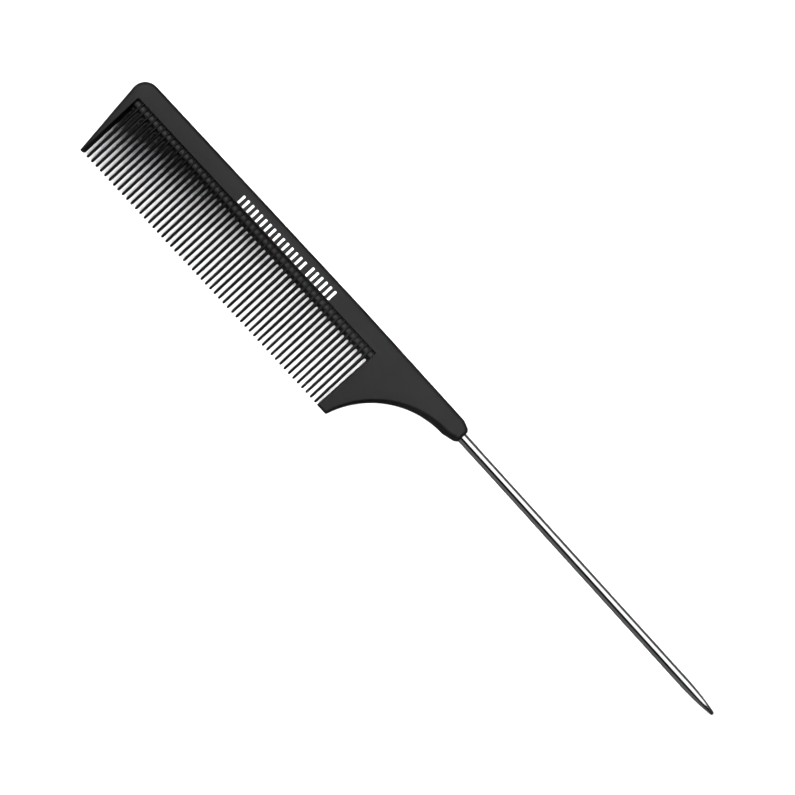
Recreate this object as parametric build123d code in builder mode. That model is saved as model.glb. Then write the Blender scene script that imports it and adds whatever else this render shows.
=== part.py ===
from build123d import *
from math import asin, cos, degrees, radians, sin, sqrt, tan
import os

# Rat tail comb with a moulded body and a steel pin tail, lying flat. Millimetres.
# X runs along the comb towards the pin's tip, Y from the tooth tips towards the back of the
# spine, and Z is the thickness. The origin is the middle of the bottom of the whole comb.

# Teeth
TOOTH_COUNT = 53
TOOTH_PITCH = 1.75
TOOTH_ROOT_WIDTH = 1.0
TOOTH_TIP_WIDTH = 0.72
TOOTH_ROOT_THICKNESS = 2.9
TOOTH_TIP_THICKNESS = 1.9
TOOTH_RIB_WIDTH = 0.7  # where the tooth runs into the spine
TOOTH_RIDGE_WIDTH = 0.16  # narrow flat along the top and bottom of each tooth
TOOTH_END_ROUND = 0.35  # length of the rounded end

# Body of the comb. Depths are measured from the back of the spine.
COMB_DEPTH = 27.0  # back of the spine to the tooth tips
BODY_THICKNESS = 4.8
SPINE_DEPTH = 5.55
SLOT_DEPTH = 8.75  # back of the spine to the rounded ends of the slots
RIM_BEVEL = 0.7  # bevel of the outer edges

# Recess that the teeth stand in, sunk from both faces
WEB_THICKNESS = 2.45  # crest of the web that joins the roots of the teeth
WEB_FOOT_THICKNESS = 1.5  # at the spine, where the web is lowest
WEB_RISE_LENGTH = 1.55  # from the spine to the crest
WEB_EDGE_THICKNESS = 0.7  # at the ends of the slots
WEB_LAND = 0.2  # flat strip between the web's bevel and the slots
SPINE_WALL_SLOPE = 0.5  # how far each wall leans between the face and the middle
GUARD_WALL_SLOPE = 1.0
HEEL_WALL_SLOPE = 0.5
RECESS_CORNER_RADIUS = 0.7

# End guard, the broad tooth at the free end
GUARD_WIDTH = 4.0
GUARD_LEAN = 6.6  # degrees between the outer edge and the teeth
GUARD_CORNER_RADIUS = 4.2
GUARD_TIP_BEVEL = 0.5

# Heel, finger curve and neck
HEEL_WIDTH = 3.3  # at the foot of the heel
HEEL_LEAN = 0.3  # how far the heel's inner edge comes in towards the foot
FINGER_RADIUS = 26.4
FINGER_ROUND_AT_HEEL = 0.75  # width of the rounded edge along the finger curve
FINGER_ROUND_AT_NECK = 1.9
FINGER_ROUND_HEIGHT = 1.2
FINGER_ROUND_STEPS = 4
FINGER_ROUND_TURN = 70  # degrees of rounding, which meets the face at a soft crease
NECK_DEPTH = 7.43  # back of the spine to the underside of the neck
NOSE_LENGTH = 4.4  # tapered end of the neck
NOSE_UNDER_RISE = 0.95
NOSE_TOP_TAPER = 3.0
NOSE_TOP_DROP = 1.1
NOSE_TOP_RADIUS = 1.5
NOSE_CORNER_LENGTH = 0.9  # cut-off lower corner
NOSE_CORNER_RISE = 0.75

# Pin tail
TAIL_LEAN = 0.7  # degrees that the tail drops towards the teeth
LEAN_BEFORE_HEEL = 10.0  # where the back of the spine starts to follow the tail
PIN_DIAMETER = 2.9
PIN_EXPOSED = 101.8
PIN_BELOW_NECK_MIDDLE = 0.12
PIN_TAPER = 12.0
PIN_END_RADIUS = 0.6
SHANK_LENGTH = 24.0  # part of the pin inside the neck
SHANK_SWELL = 0.4  # how much thicker the upset shank is than the pin
SHANK_CHAMFER = 0.3
ANCHOR_GROOVES = 3
ANCHOR_SPACING = 5.5
ANCHOR_WIDTH = 1.2
ANCHOR_DEPTH = 0.4

# Printed index marks on the spine: plain bars a tooth apart, in two groups
MARK_FILM = 0.03
MARK_WIDTH = 0.65
MARK_START = 42.45  # from the outermost point of the guard to the first bar
MARK_GROUP_GAP = 2.6  # between the groups, middle of bar to middle of bar
SHORT_MARKS = 15
SHORT_MARK_HEIGHT = 2.6
TALL_MARKS = 6
TALL_MARK_HEIGHT = 3.05
MARK_FOOT = 5.3  # depth of the lower ends of the bars

# Lengths along the comb, from the outermost point of the guard
slot_width = TOOTH_PITCH - TOOTH_ROOT_WIDTH
first_tooth = GUARD_WIDTH + slot_width + TOOTH_ROOT_WIDTH / 2
last_tooth = first_tooth + (TOOTH_COUNT - 1) * TOOTH_PITCH
heel_start = last_tooth + TOOTH_ROOT_WIDTH / 2 + slot_width
heel_foot = heel_start + HEEL_WIDTH
finger_centre_depth = NECK_DEPTH + FINGER_RADIUS
finger_centre = heel_foot + sqrt(FINGER_RADIUS**2 - (finger_centre_depth - COMB_DEPTH) ** 2)
nose_end = finger_centre + NOSE_LENGTH
lean_start = heel_start - LEAN_BEFORE_HEEL
overall_length = nose_end + PIN_EXPOSED * cos(radians(TAIL_LEAN))

root_depth = SLOT_DEPTH + slot_width / 2
behind_wall = SPINE_DEPTH - SPINE_WALL_SLOPE
middle_height = BODY_THICKNESS / 2
slot_middles = overall_length / -2 + (GUARD_WIDTH + heel_start) / 2
teeth_middle = overall_length / -2 + (first_tooth + last_tooth) / 2
margin = 5.0


def spot(along, depth):
    """Point of the comb's plan from its distance along the comb and its depth below the back."""
    return (along - overall_length / 2, COMB_DEPTH / 2 - depth)


def back_depth(along):
    """Depth of the back edge, which follows the tail's lean beyond lean_start."""
    return (along - lean_start) * tan(radians(TAIL_LEAN))


def tooth_section(width, thickness):
    """Long hexagon of a tooth: upright flanks under two 45 degree roofs."""
    flank = thickness / 2 - (width - TOOTH_RIDGE_WIDTH) / 2
    quarter = [(width / 2, flank), (TOOTH_RIDGE_WIDTH / 2, thickness / 2)]
    upper = quarter + [(-x, y) for x, y in reversed(quarter)]
    with BuildSketch() as section:
        with BuildLine():
            Polyline(*upper, *[(-x, -y) for x, y in upper], close=True)
        make_face()
    return section.sketch


def across_tooth(depth):
    """Plane square to a tooth at a depth below the back, on the tooth's own centre line."""
    return Plane(origin=(0, COMB_DEPTH / 2 - depth, middle_height), x_dir=(1, 0, 0), z_dir=(0, -1, 0))


def recess_outline(wall_step, corner_radius):
    """Plan of the tooth recess, with each wall stepped back by a share of its slope."""
    left = GUARD_WIDTH - GUARD_WALL_SLOPE * wall_step
    right = heel_start + HEEL_WALL_SLOPE * wall_step
    top = SPINE_DEPTH + SPINE_WALL_SLOPE * (1 - wall_step)
    below = COMB_DEPTH + margin
    foot = right - HEEL_LEAN * (below - root_depth) / (COMB_DEPTH - root_depth)
    tip = COMB_DEPTH - GUARD_TIP_BEVEL
    with BuildSketch() as outline:
        with BuildLine():
            Polyline(
                spot(left, top),
                spot(right, top),
                spot(right, root_depth),
                spot(foot, below),
                spot(left - GUARD_TIP_BEVEL - margin, below),
                spot(left - GUARD_TIP_BEVEL, COMB_DEPTH),
                spot(left, tip),
                close=True,
            )
        make_face()
        fillet(vertices().sort_by_distance(spot(left, top))[0], corner_radius)
    return outline.sketch


def finger_outline(heel_inset, neck_inset):
    """Region under the finger curve and the nose, widened by an inset at either end."""
    to_heel = Vector(*spot(heel_foot, COMB_DEPTH)) - Vector(*spot(finger_centre, finger_centre_depth))
    swing = (Vector(0, 1) - to_heel.normalized()).normalized()
    shift = swing * (neck_inset - heel_inset) / (2 * swing.Y)
    radius = FINGER_RADIUS + neck_inset - shift.Y
    centre = Vector(*spot(finger_centre, finger_centre_depth)) + shift
    floor = -COMB_DEPTH / 2 - margin
    start_angle = 180 - degrees(asin((floor - centre.Y) / radius))
    crown = centre + Vector(0, radius)
    corner = crown + Vector(NOSE_LENGTH - NOSE_CORNER_LENGTH, NOSE_UNDER_RISE)
    corner_cut = Vector(NOSE_CORNER_LENGTH, NOSE_CORNER_RISE)
    beyond = corner + corner_cut * 2
    with BuildSketch() as outline:
        with BuildLine():
            curve = CenterArc(centre, radius, start_angle, 90 - start_angle)
            Polyline(curve @ 1, corner, beyond, (beyond.X, floor), curve @ 0)
        make_face()
    return outline.sketch


# The whole outline without its teeth: spine, guard, heel and neck in one block
corner_overhang = GUARD_CORNER_RADIUS * (tan(radians(45 + GUARD_LEAN / 2)) - 1)
nose_top = back_depth(nose_end - NOSE_TOP_TAPER)
with BuildPart() as moulding:
    with BuildSketch(Plane.XY):
        with BuildLine():
            Polyline(
                spot(COMB_DEPTH * tan(radians(GUARD_LEAN)) - corner_overhang, COMB_DEPTH),
                spot(-corner_overhang, 0),
                spot(lean_start, 0),
                spot(nose_end - NOSE_TOP_TAPER, nose_top),
                spot(nose_end, nose_top + NOSE_TOP_DROP),
                spot(nose_end, NECK_DEPTH),
                spot(nose_end - NOSE_LENGTH, COMB_DEPTH),
                close=True,
            )
        make_face()
        fillet(vertices().sort_by_distance(spot(-corner_overhang, 0))[0], GUARD_CORNER_RADIUS)
        fillet(vertices().group_by(Axis.X)[-1].sort_by(Axis.Y)[-1], NOSE_TOP_RADIUS)
    extrude(amount=BODY_THICKNESS)
    rims = faces().sort_by(Axis.Z)[-1].edges() + faces().sort_by(Axis.Z)[0].edges()
    chamfer(rims, RIM_BEVEL)

# Finger curve with an edge that is rounded more towards the neck
full_turn = radians(FINGER_ROUND_TURN)
with BuildPart() as finger_cut:
    for step in range(FINGER_ROUND_STEPS + 1):
        turn = full_turn * step / FINGER_ROUND_STEPS
        share = (1 - cos(turn)) / (1 - cos(full_turn))
        rise = FINGER_ROUND_HEIGHT * sin(turn) / sin(full_turn)
        with BuildSketch(Plane.XY.offset(BODY_THICKNESS - FINGER_ROUND_HEIGHT + rise)):
            add(finger_outline(FINGER_ROUND_AT_HEEL * share, FINGER_ROUND_AT_NECK * share))
    loft()
    with BuildSketch(Plane.XY.offset(middle_height)):
        add(finger_outline(0, 0))
    extrude(amount=BODY_THICKNESS / 2 - FINGER_ROUND_HEIGHT)
    mirror(about=Plane.XY.offset(middle_height))

# Recess for the teeth, open at the tooth tips
with BuildPart() as recess_cut:
    with BuildSketch(Plane.XY.offset(middle_height)):
        add(recess_outline(0, RECESS_CORNER_RADIUS / 2))
    with BuildSketch(Plane.XY.offset(BODY_THICKNESS)):
        add(recess_outline(1, RECESS_CORNER_RADIUS))
    loft(ruled=True)
    mirror(about=Plane.XY.offset(middle_height))

with BuildPart() as frame:
    add(moulding.part)
    add(finger_cut.part, mode=Mode.SUBTRACT)
    add(recess_cut.part, mode=Mode.SUBTRACT)

# Steel pin: a straight tail with a tapered end, and a grooved shank inside the neck
neck_middle = (back_depth(finger_centre) + NECK_DEPTH) / 2 + PIN_BELOW_NECK_MIDDLE
pin_start = spot(nose_end, neck_middle + NOSE_LENGTH * tan(radians(TAIL_LEAN)))
pin_direction = (cos(radians(TAIL_LEAN)), -sin(radians(TAIL_LEAN)), 0)
pin_plane = Plane(origin=(*pin_start, middle_height), x_dir=pin_direction, z_dir=(0, 0, 1))
pin_radius = PIN_DIAMETER / 2
shank_radius = pin_radius + SHANK_SWELL / 2
with BuildPart() as tail_pin:
    with BuildSketch(pin_plane):
        with BuildLine():
            Polyline(
                (PIN_EXPOSED, 0),
                (-SHANK_LENGTH, 0),
                (-SHANK_LENGTH, shank_radius - SHANK_CHAMFER),
                (SHANK_CHAMFER - SHANK_LENGTH, shank_radius),
                (SHANK_SWELL / -2, shank_radius),
                (0, pin_radius),
                (PIN_EXPOSED - PIN_TAPER, pin_radius),
            )
            shoulder = (PIN_EXPOSED - PIN_END_RADIUS, PIN_END_RADIUS)
            TangentArc((PIN_EXPOSED - PIN_TAPER, pin_radius), shoulder, tangent=(1, 0))
            RadiusArc(shoulder, (PIN_EXPOSED, 0), PIN_END_RADIUS)
        make_face()
        with Locations((SHANK_LENGTH / -2, shank_radius)):
            with GridLocations(ANCHOR_SPACING, 0, ANCHOR_GROOVES, 1):
                Rectangle(ANCHOR_WIDTH, 2 * ANCHOR_DEPTH, mode=Mode.SUBTRACT)
    revolve(axis=Axis((*pin_start, middle_height), pin_direction))

# One whole tooth in two lengths: a rib across the web, and the free tooth with its rounded end
with BuildPart() as tooth_rib:
    with BuildSketch(across_tooth(root_depth)):
        add(tooth_section(TOOTH_ROOT_WIDTH, TOOTH_ROOT_THICKNESS))
    with BuildSketch(across_tooth(behind_wall)):
        add(tooth_section(TOOTH_RIB_WIDTH, TOOTH_ROOT_THICKNESS))
    loft(ruled=True)

with BuildPart() as free_tooth:
    with BuildSketch(across_tooth(root_depth)):
        add(tooth_section(TOOTH_ROOT_WIDTH, TOOTH_ROOT_THICKNESS))
    with BuildSketch(across_tooth(COMB_DEPTH - TOOTH_END_ROUND)):
        add(tooth_section(TOOTH_TIP_WIDTH, TOOTH_TIP_THICKNESS))
    with BuildSketch(across_tooth(COMB_DEPTH)):
        add(tooth_section(TOOTH_TIP_WIDTH / 2, TOOTH_TIP_THICKNESS - TOOTH_TIP_WIDTH / 2))
    loft(ruled=True)

with BuildPart() as fine_teeth:
    with Locations((teeth_middle, 0)):
        with GridLocations(TOOTH_PITCH, 0, TOOTH_COUNT, 1):
            add(free_tooth.part)

# The block comes apart into regions that meet face to face
heel_face = heel_start + HEEL_WALL_SLOPE
beyond_end = nose_end + margin
spine_region = [
    (-margin, -margin),
    (heel_face, -margin),
    (heel_face, root_depth),
    (-margin, root_depth),
]
guard_region = [
    (-margin, root_depth),
    (first_tooth, root_depth),
    (first_tooth, beyond_end),
    (-margin, beyond_end),
]
neck_region = [
    (heel_face, -margin),
    (beyond_end, -margin),
    (beyond_end, beyond_end),
    (last_tooth, beyond_end),
    (last_tooth, root_depth),
    (heel_face, root_depth),
]


def region_block(corners):
    """Full-thickness block over a region of the plan."""
    with BuildPart() as block:
        with BuildSketch():
            with BuildLine():
                Polyline(*[spot(*corner) for corner in corners], close=True)
            make_face()
        extrude(amount=BODY_THICKNESS)
    return block.part


with BuildPart() as end_guard:
    add(frame.part)
    add(region_block(guard_region), mode=Mode.INTERSECT)

with BuildPart() as heel_and_neck:
    add(frame.part)
    add(region_block(neck_region), mode=Mode.INTERSECT)
    add(tail_pin.part, mode=Mode.SUBTRACT)

# Spine, with the web that the tooth ribs cross and that thins to an edge at the slots
web_start = GUARD_WIDTH - GUARD_WALL_SLOPE
bevel_end = SLOT_DEPTH - WEB_LAND
bevel_start = bevel_end - (WEB_THICKNESS - WEB_EDGE_THICKNESS) / 2
web_profile = [
    (SPINE_DEPTH, WEB_FOOT_THICKNESS),
    (SPINE_DEPTH + WEB_RISE_LENGTH, WEB_THICKNESS),
    (bevel_start, WEB_THICKNESS),
    (bevel_end, WEB_EDGE_THICKNESS),
    (root_depth, WEB_EDGE_THICKNESS),
]
upper_web = [(COMB_DEPTH / 2 - depth, middle_height + t / 2) for depth, t in web_profile]
lower_web = [(y, BODY_THICKNESS - z) for y, z in reversed(upper_web)]
with BuildPart() as spine:
    add(frame.part)
    add(region_block(spine_region), mode=Mode.INTERSECT)
    with BuildSketch(Plane.YZ.offset(spot(web_start, 0)[0])):
        with BuildLine():
            Polyline(*upper_web, *lower_web, close=True)
        make_face()
    extrude(amount=heel_face - web_start)
    with BuildSketch(Plane.XY):
        with Locations((slot_middles, COMB_DEPTH / 2 - root_depth)):
            with GridLocations(TOOTH_PITCH, 0, TOOTH_COUNT + 1, 1):
                Circle(slot_width / 2)
    extrude(amount=BODY_THICKNESS, mode=Mode.SUBTRACT)
    with Locations((teeth_middle, 0)):
        with GridLocations(TOOTH_PITCH, 0, TOOTH_COUNT, 1):
            add(tooth_rib.part)

# Index marks, a film of ink on the upper face
short_marks = [MARK_START + count * TOOTH_PITCH for count in range(SHORT_MARKS)]
tall_start = short_marks[-1] + MARK_GROUP_GAP
tall_marks = [tall_start + count * TOOTH_PITCH for count in range(TALL_MARKS)]
with BuildPart() as index_marks:
    with BuildSketch(Plane.XY.offset(BODY_THICKNESS)):
        with Locations([spot(along, MARK_FOOT) for along in short_marks]):
            Rectangle(MARK_WIDTH, SHORT_MARK_HEIGHT, align=(Align.CENTER, Align.MIN))
        with Locations([spot(along, MARK_FOOT) for along in tall_marks]):
            Rectangle(MARK_WIDTH, TALL_MARK_HEIGHT, align=(Align.CENTER, Align.MIN))
    extrude(amount=MARK_FILM)

os.makedirs("parts", exist_ok=True)
for name, piece in (
    ("spine", spine),
    ("fine_teeth", fine_teeth),
    ("end_guard", end_guard),
    ("heel_and_neck", heel_and_neck),
    ("tail_pin", tail_pin),
    ("index_marks", index_marks),
):
    piece.part.label = name
    export_step(piece.part, f"parts/{name}.step")
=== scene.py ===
import bpy
from math import pi, radians
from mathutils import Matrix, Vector


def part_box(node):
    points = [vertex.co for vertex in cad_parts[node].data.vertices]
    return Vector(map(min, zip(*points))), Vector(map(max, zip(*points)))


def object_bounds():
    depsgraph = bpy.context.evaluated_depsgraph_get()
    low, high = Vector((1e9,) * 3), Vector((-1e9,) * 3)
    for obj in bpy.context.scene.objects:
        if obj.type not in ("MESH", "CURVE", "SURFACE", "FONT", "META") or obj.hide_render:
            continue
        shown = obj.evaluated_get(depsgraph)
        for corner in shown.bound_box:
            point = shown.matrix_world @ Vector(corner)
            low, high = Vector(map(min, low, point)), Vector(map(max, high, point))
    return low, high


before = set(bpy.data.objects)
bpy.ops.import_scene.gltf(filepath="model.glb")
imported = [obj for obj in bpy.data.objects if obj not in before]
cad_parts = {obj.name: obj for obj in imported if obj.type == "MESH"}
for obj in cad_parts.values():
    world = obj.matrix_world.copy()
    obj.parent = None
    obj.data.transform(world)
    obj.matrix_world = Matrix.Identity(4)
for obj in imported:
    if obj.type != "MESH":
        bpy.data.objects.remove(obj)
cad_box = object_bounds()

# The comb lies flat, teeth towards -Y and pin towards +X, and the camera looks straight down.
# Lengths are metres.
VIEW_WIDTH = 0.21615  # what the picture spans at the comb's upper face
VIEW_CENTRE = Vector((-0.0055, 0.00395))
VIEW_TURN = radians(47.1)
CAMERA_HEIGHT = 1.3  # above the comb's upper face
SENSOR = 36.0  # millimetres

FLOOR_SIZE = 4.0
FLOOR_GAP = 0.0001  # below the comb, so that the two surfaces don't coincide

# Black card that shades the roots of the teeth towards the guard's end
CARD_HEIGHT = 0.011
CARD_CORNERS = ((-0.1155, 0.0082), (-0.1155, -0.0067), (-0.048, 0.0068), (-0.055, 0.0082))
CARD_GREY = 0.01

ROOM_GREY = 0.15  # the lighter parts of the room

comb_bottom = cad_box[0][2]
face_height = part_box("spine")[1].z


# ---------------------------------------------------------------- node helpers
def new_material(name):
    material = bpy.data.materials.new(name)
    material.use_nodes = True
    tree = material.node_tree
    return material, tree, tree.nodes["Principled BSDF"]


def noise(tree, coordinates, scale, detail=4.0, roughness=0.55):
    node = tree.nodes.new("ShaderNodeTexNoise")
    node.inputs["Scale"].default_value = scale
    node.inputs["Detail"].default_value = detail
    node.inputs["Roughness"].default_value = roughness
    tree.links.new(coordinates, node.inputs["Vector"])
    return node.outputs["Fac"]


def ramp(tree, value, stops):
    node = tree.nodes.new("ShaderNodeValToRGB")
    elements = node.color_ramp.elements
    while len(elements) < len(stops):
        elements.new(0.5)
    for element, (place, colour) in zip(elements, stops):
        element.position = place
        element.color = (*colour, 1.0) if isinstance(colour, tuple) else (colour, colour, colour, 1.0)
    tree.links.new(value, node.inputs["Fac"])
    return node.outputs["Color"]


def to_range(tree, value, low_out, high_out, low_in=0.0, high_in=1.0):
    node = tree.nodes.new("ShaderNodeMapRange")
    node.inputs["From Min"].default_value = low_in
    node.inputs["From Max"].default_value = high_in
    node.inputs["To Min"].default_value = low_out
    node.inputs["To Max"].default_value = high_out
    tree.links.new(value, node.inputs["Value"])
    return node.outputs["Result"]


def bump(tree, height, distance, strength):
    node = tree.nodes.new("ShaderNodeBump")
    node.inputs["Distance"].default_value = distance
    node.inputs["Strength"].default_value = strength
    tree.links.new(height, node.inputs["Height"])
    return node.outputs["Normal"]


def object_coordinates(tree, stretch=(1, 1, 1)):
    texture = tree.nodes.new("ShaderNodeTexCoord")
    mapping = tree.nodes.new("ShaderNodeMapping")
    mapping.inputs["Scale"].default_value = stretch
    tree.links.new(texture.outputs["Object"], mapping.inputs["Vector"])
    return mapping.outputs["Vector"]


# ---------------------------------------------------------------- materials
def comb_resin():
    """Black carbon-filled resin: a fine moulded grain, with slow changes in gloss."""
    material, tree, shader = new_material("comb_resin")
    place = object_coordinates(tree)
    cloud = noise(tree, place, 90, 3.0)
    grain = noise(tree, place, 5200, 2.0)
    colour = ramp(tree, cloud, [(0.35, (0.0016, 0.0016, 0.0017)), (0.7, (0.0024, 0.0024, 0.0026))])
    tree.links.new(colour, shader.inputs["Base Color"])
    tree.links.new(to_range(tree, cloud, 0.29, 0.35), shader.inputs["Roughness"])
    tree.links.new(bump(tree, grain, 0.00001, 0.35), shader.inputs["Normal"])
    return material


def pin_steel():
    """Ground and polished stainless steel, with very fine rings round the pin."""
    material, tree, shader = new_material("pin_steel")
    shader.inputs["Metallic"].default_value = 1.0
    rings = noise(tree, object_coordinates(tree, (1.0, 0.04, 0.04)), 9000, 2.0)
    cloud = noise(tree, object_coordinates(tree), 220, 3.0)
    colour = ramp(tree, cloud, [(0.3, (0.60, 0.60, 0.61)), (0.75, (0.68, 0.68, 0.69))])
    tree.links.new(colour, shader.inputs["Base Color"])
    tree.links.new(to_range(tree, cloud, 0.05, 0.09), shader.inputs["Roughness"])
    tree.links.new(bump(tree, rings, 0.000004, 0.25), shader.inputs["Normal"])
    return material


def white_ink():
    """Pad-printed ink: a little uneven, with pinholes where the grain shows."""
    material, tree, shader = new_material("white_ink")
    speckle = noise(tree, object_coordinates(tree), 4200, 3.0)
    colour = ramp(tree, speckle, [(0.28, (0.25, 0.25, 0.25)), (0.42, (0.86, 0.86, 0.85))])
    tree.links.new(colour, shader.inputs["Base Color"])
    shader.inputs["Roughness"].default_value = 0.55
    tree.links.new(bump(tree, speckle, 0.00001, 0.3), shader.inputs["Normal"])
    return material


def pale_floor():
    material, tree, shader = new_material("pale_floor")
    mottle = noise(tree, object_coordinates(tree), 40, 3.0)
    colour = ramp(tree, mottle, [(0.3, 0.86), (0.7, 0.89)])
    tree.links.new(colour, shader.inputs["Base Color"])
    shader.inputs["Roughness"].default_value = 0.9
    return material


def dress(node, material):
    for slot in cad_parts[node].material_slots:
        slot.material = material


resin = comb_resin()
for node in ("spine", "fine_teeth", "end_guard", "heel_and_neck"):
    dress(node, resin)
dress("tail_pin", pin_steel())
dress("index_marks", white_ink())


# ---------------------------------------------------------------- floor, light and camera
def floor_sheet():
    bpy.ops.mesh.primitive_plane_add(size=FLOOR_SIZE, location=(0, 0, comb_bottom - FLOOR_GAP))
    floor = bpy.context.object
    floor.name = "studio_floor"
    floor.data.materials.append(pale_floor())
    floor.visible_glossy = False


def shade_card():
    """Card that casts its shade but is itself seen neither directly nor in the gloss."""
    mesh = bpy.data.meshes.new("shade_card")
    corners = [(x, y, CARD_HEIGHT) for x, y in CARD_CORNERS]
    mesh.from_pydata(corners, [], [range(len(corners))])
    card = bpy.data.objects.new("shade_card", mesh)
    bpy.context.scene.collection.objects.link(card)
    material, _, shader = new_material("black_card")
    shader.inputs["Base Color"].default_value = (CARD_GREY, CARD_GREY, CARD_GREY, 1)
    mesh.materials.append(material)
    card.visible_camera = False
    card.visible_glossy = False


def softbox(name, place, target, size, radiance, lights_up):
    """Rectangular softbox of a given radiance. One that lights up "surfaces" isn't seen in the
    gloss, and one that lights up "gloss" is seen only there."""
    light = bpy.data.lights.new(name, "AREA")
    light.shape = "RECTANGLE"
    light.size, light.size_y = size
    light.energy = radiance * pi * size[0] * size[1]
    lamp = bpy.data.objects.new(name, light)
    lamp.location = place
    lamp.rotation_euler = (Vector(target) - Vector(place)).to_track_quat("-Z", "X").to_euler()
    lamp.visible_glossy = lights_up != "surfaces"
    lamp.visible_diffuse = lights_up != "gloss"
    bpy.context.scene.collection.objects.link(lamp)


def studio_sky():
    """Dim room: black overhead, grey low down on the teeth's side and below."""
    world = bpy.data.worlds.new("studio_sky")
    bpy.context.scene.world = world
    world.use_nodes = True
    tree = world.node_tree
    direction = tree.nodes.new("ShaderNodeTexCoord").outputs["Generated"]
    split = tree.nodes.new("ShaderNodeSeparateXYZ")
    tree.links.new(direction, split.inputs["Vector"])
    front = to_range(tree, split.outputs["Y"], ROOM_GREY, 0.0, -0.75, -0.6)
    below = to_range(tree, split.outputs["Z"], ROOM_GREY, 0.0, -0.05, 0.05)
    most = tree.nodes.new("ShaderNodeMath")
    most.operation = "MAXIMUM"
    tree.links.new(front, most.inputs[0])
    tree.links.new(below, most.inputs[1])
    tree.links.new(most.outputs["Value"], tree.nodes["Background"].inputs["Color"])


def camera():
    lens = bpy.data.cameras.new("camera")
    lens.sensor_width = SENSOR
    lens.lens = SENSOR * CAMERA_HEIGHT / VIEW_WIDTH
    holder = bpy.data.objects.new("camera", lens)
    holder.location = (VIEW_CENTRE.x, VIEW_CENTRE.y, face_height + CAMERA_HEIGHT)
    holder.rotation_euler = (0, 0, VIEW_TURN)
    bpy.context.scene.collection.objects.link(holder)
    bpy.context.scene.camera = holder


floor_sheet()
studio_sky()
shade_card()
# Lamps for the surfaces: one over the slots, and one low on either side
softbox("slot_lamp", (-0.025, 0.0, 0.30), (-0.025, 0, 0), (0.16, 0.30), 16, "surfaces")
softbox("left_lamp", (-0.9, 0.0, 0.55), (0, 0, 0), (0.5, 0.4), 42, "surfaces")
softbox("right_lamp", (0.9, 0.0, 0.55), (0, 0, 0), (0.5, 0.4), 9, "surfaces")
# Lights that only the gloss shows: one for the faces and the pin, and one for the free end
softbox("bank_of_light", (0.0, 0.516, 0.737), (0, 0, 0), (1.2, 0.84), 1.65, "gloss")
softbox("end_light", (-0.24, 0.05, 0.12), (-0.12, 0, 0), (0.10, 0.15), 7, "gloss")
camera()
bpy.context.scene.view_settings.view_transform = "Standard"
